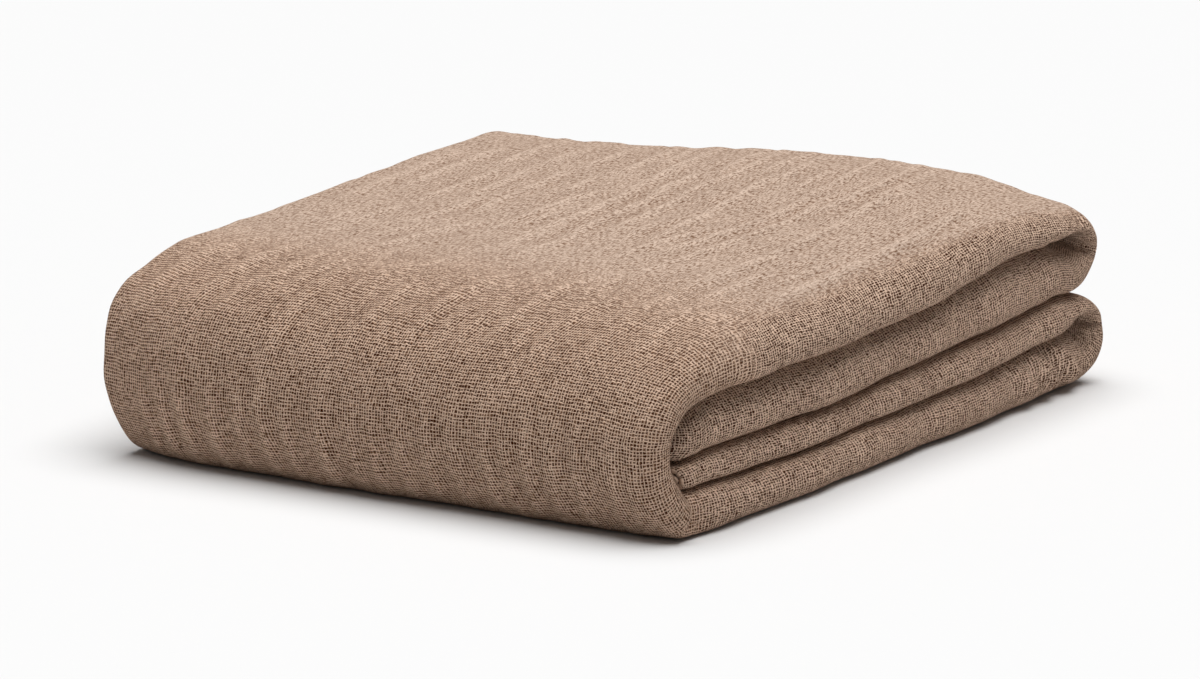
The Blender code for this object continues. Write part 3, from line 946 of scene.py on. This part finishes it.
# Thread colours: their tops reach the lightest as a painted highlight, and grain and fuzz vary it.
CLOTH_LIGHT = (0.860, 0.628, 0.478, 1.0)
CLOTH_MAIN = (0.430, 0.250, 0.152, 1.0)
TROUGH_SHADE_COLOUR = (0.200, 0.096, 0.050, 1.0)
PORE_SHADE = (0.055, 0.016, 0.006, 1.0)
# The top's colours, lighter as painted light from above.
LIT_TOP_PALE = (0.622, 0.488, 0.396, 1.0)
LIT_TOP_DARK = (0.160, 0.088, 0.052, 1.0)


def muslin():
    """Open plain weave: round threads over and under, slubs and a felted patchiness, with painted
    shade in its gaps and crease troughs, painted light on the ridges and a top painted lighter.
    """
    graph = Graph("muslin_weave")
    u, v = graph.map_parts("weave")
    thread_along, lip_along = graph.map_parts("threads")
    on_top, on_side = graph.map_parts("finish")
    relief = graph.map_parts("relief")[0]

    def uneven(name, lengthwise=v):
        across, up, by, detail = UNEVEN[name]
        return graph.noise(u * across + by, lengthwise * up + by, detail)

    def stray(scale, amount, by):
        return (graph.noise(u * scale + by, v * scale + by, 1.0) - 0.5) * amount

    def straying(slow, quick, ruffle):
        """How far the threads of one set stray, from three noises of rising fineness."""
        return stray(*slow) + stray(*quick) + ruffled * stray(*ruffle)

    def gap(at, other):
        """1 in the gap between two threads of one set. Each gap has its own changing width."""
        width = graph.noise(graph.maths("FLOOR", at) * GAP_KEY, other * GAP_CHANGE, 2.0)
        starts = width * GAP_WIDE + GAP_FROM
        away = graph.maths("ABSOLUTE", graph.maths("FRACT", at) - 0.5)
        return graph.spread(away, starts, starts + GAP_SOFT, 1.0, 0.0)

    def wave(at):
        return graph.maths("SINE", at * math.pi)

    def woven(lengthwise, pitch):
        """How high the threads stand, from 0 in a pore between them to 1 on top of one."""
        warp, weft = (u + u_stray) / pitch[0], (lengthwise + v_stray) / pitch[1]
        over = graph.spread(wave(warp) * wave(weft), -0.5, 0.5)
        return graph.maths("MAXIMUM", (1.0 - gap(warp, weft)) * (over * 0.5 + 0.5),
                           (1.0 - gap(weft, warp)) * (over * -0.5 + 1.0))

    # The threads lie evenly on the front, and are ruffled where it turns to the top and on lips.
    ruffled = on_side * RUFFLED_ON_SIDE + graph.spread(on_top, *RUFFLED_ON_TOP)
    u_stray, v_stray = straying(*STRAY_ACROSS), straying(*STRAY_ALONG)
    height = woven(thread_along, FRONT_PITCH)
    height = (woven(lip_along, LIP_PITCH) - height) * on_side + height
    speckle, grain = uneven("speckle", thread_along), uneven("grain")
    patches, fuzz = uneven("patches"), uneven("fuzz")

    # Felted patches, and painted light on the crease ridges.
    felt_and_ridge_light = (graph.spread(relief, *RIDGE_LIGHT_RELIEF)
            + graph.spread(patches, *FELT_PATCHES, -FELT_PATCH, FELT_PATCH))
    felt_and_ridge_light = graph.spread(felt_and_ridge_light, *FELT_AND_RIDGE_LIGHT_RANGE)
    opened = graph.spread(grain - felt_and_ridge_light * OPEN_LESS_FELT, *OPEN_GRAIN)
    # Painted shade in the pores between the threads.
    pore = (1.0 - graph.spread(height, *PORE_HEIGHTS)) * (opened * PORE_OPENED + PORE_STRENGTH)
    pore = pore * (on_top * PORE_ON_TOP + 1.0) * (on_side * PORE_ON_SIDE + 1.0)

    # Thread height paints shade down each thread's sides and a highlight on its top.
    shade = height * SHADE_HEIGHT + fuzz * SHADE_FUZZ + grain * SHADE_GRAIN + on_side * SHADE_SIDE
    threads = graph.blend(graph.spread(shade, *SHADE_RANGE), CLOTH_MAIN, CLOTH_LIGHT)
    # Painted shade in the crease troughs, deeper where the weave is open.
    threads = graph.blend(opened * (1.0 - felt_and_ridge_light) * SUNK_SHADE, threads, TROUGH_SHADE_COLOUR)
    raised = relief - 0.5
    # The top is painted lighter, as painted light from above, with speckle and its crease relief.
    speckle = speckle + raised * RIDGE_LIGHT_ON_TOP + (patches - 0.5) * SPECKLE_PATCH
    top = graph.blend(graph.spread(speckle, *SPECKLE_RANGE), LIT_TOP_DARK, LIT_TOP_PALE)
    threads = graph.blend(on_top * LIT_TOP_SHARE, threads, top)
    # Painted shade in the crease troughs and painted light on their ridges.
    threads = graph.blend(raised * TROUGH_SHADE + EVEN_DEEP, threads, TROUGH_SHADE_COLOUR)
    graph.put(graph.shader.inputs["Base Color"], graph.blend(pore, threads, PORE_SHADE))

    stood = height * (on_top * BUMP_ON_TOP + 1.0) + fuzz * BUMP_FUZZ + grain * BUMP_GRAIN
    inputs = (("Strength", 1.0), ("Distance", BUMP_HIGH), ("Height", stood))
    bump = graph.node("ShaderNodeBump", inputs)
    graph.put(graph.shader.inputs["Normal"], bump.outputs["Normal"])
    graph.shader.inputs["Roughness"].default_value = 1.0
    graph.shader.inputs["Specular IOR Level"].default_value = 0.0
    return graph.material


def floor_paint():
    graph = Graph("pale_floor")
    graph.shader.inputs["Base Color"].default_value = FLOOR_COLOUR
    graph.shader.inputs["Roughness"].default_value = 0.9
    graph.shader.inputs["Specular IOR Level"].default_value = 0.1
    return graph.material


# ---- studio and camera
CAMERA_AT = (0.928, -1.4202, 0.3876)
CAMERA_PITCH, CAMERA_TURN = 11.93, 32.92  # degrees down from level, and round from the front
LENS, SENSOR = 135.0, 36.0  # millimetres
FAR = 50.0  # how far the camera sees
FLOOR_COLOUR = (0.768, 0.768, 0.768, 1.0)
FLOOR_HALF = 12.0  # half a side of the floor
WORLD_LIGHT = 0.14
SUN_STRENGTH = 3.60
SUN_ACROSS, SUN_TURN = 62.0, (-6.0, 2.0, 0.0)  # degrees


def build_studio():
    floor_mesh = bpy.data.meshes.new("studio_floor")
    corners = [(right * FLOOR_HALF, up * FLOOR_HALF, 0.0)
               for right, up in ((-1, -1), (1, -1), (1, 1), (-1, 1))]
    floor_mesh.from_pydata(corners, [], [(0, 1, 2, 3)])
    floor_mesh.materials.append(floor_paint())
    floor = add_object("studio_floor", floor_mesh)

    world = bpy.data.worlds.new("studio_air")
    world.use_nodes = True
    air = world.node_tree.nodes["Background"]
    air.inputs["Color"].default_value = (1.0, 1.0, 1.0, 1.0)
    air.inputs["Strength"].default_value = WORLD_LIGHT
    bpy.context.scene.world = world
    lamp = bpy.data.lights.new("overhead", "SUN")
    lamp.energy = SUN_STRENGTH
    lamp.angle = math.radians(SUN_ACROSS)
    add_object("overhead", lamp).rotation_euler = [math.radians(part) for part in SUN_TURN]


def build_camera():
    data = bpy.data.cameras.new("photo_camera")
    data.lens = LENS
    data.sensor_width = SENSOR
    data.clip_end = FAR
    camera = add_object("photo_camera", data)
    camera.location = CAMERA_AT
    camera.rotation_euler = (math.radians(90.0 - CAMERA_PITCH), 0.0, math.radians(CAMERA_TURN))
    bpy.context.scene.camera = camera


build_camera()
build_studio()
blanket = build_blanket()
blanket.data.materials.append(muslin())
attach(blanket, "root")
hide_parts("blanket")

bpy.context.scene.view_settings.view_transform = "Standard"
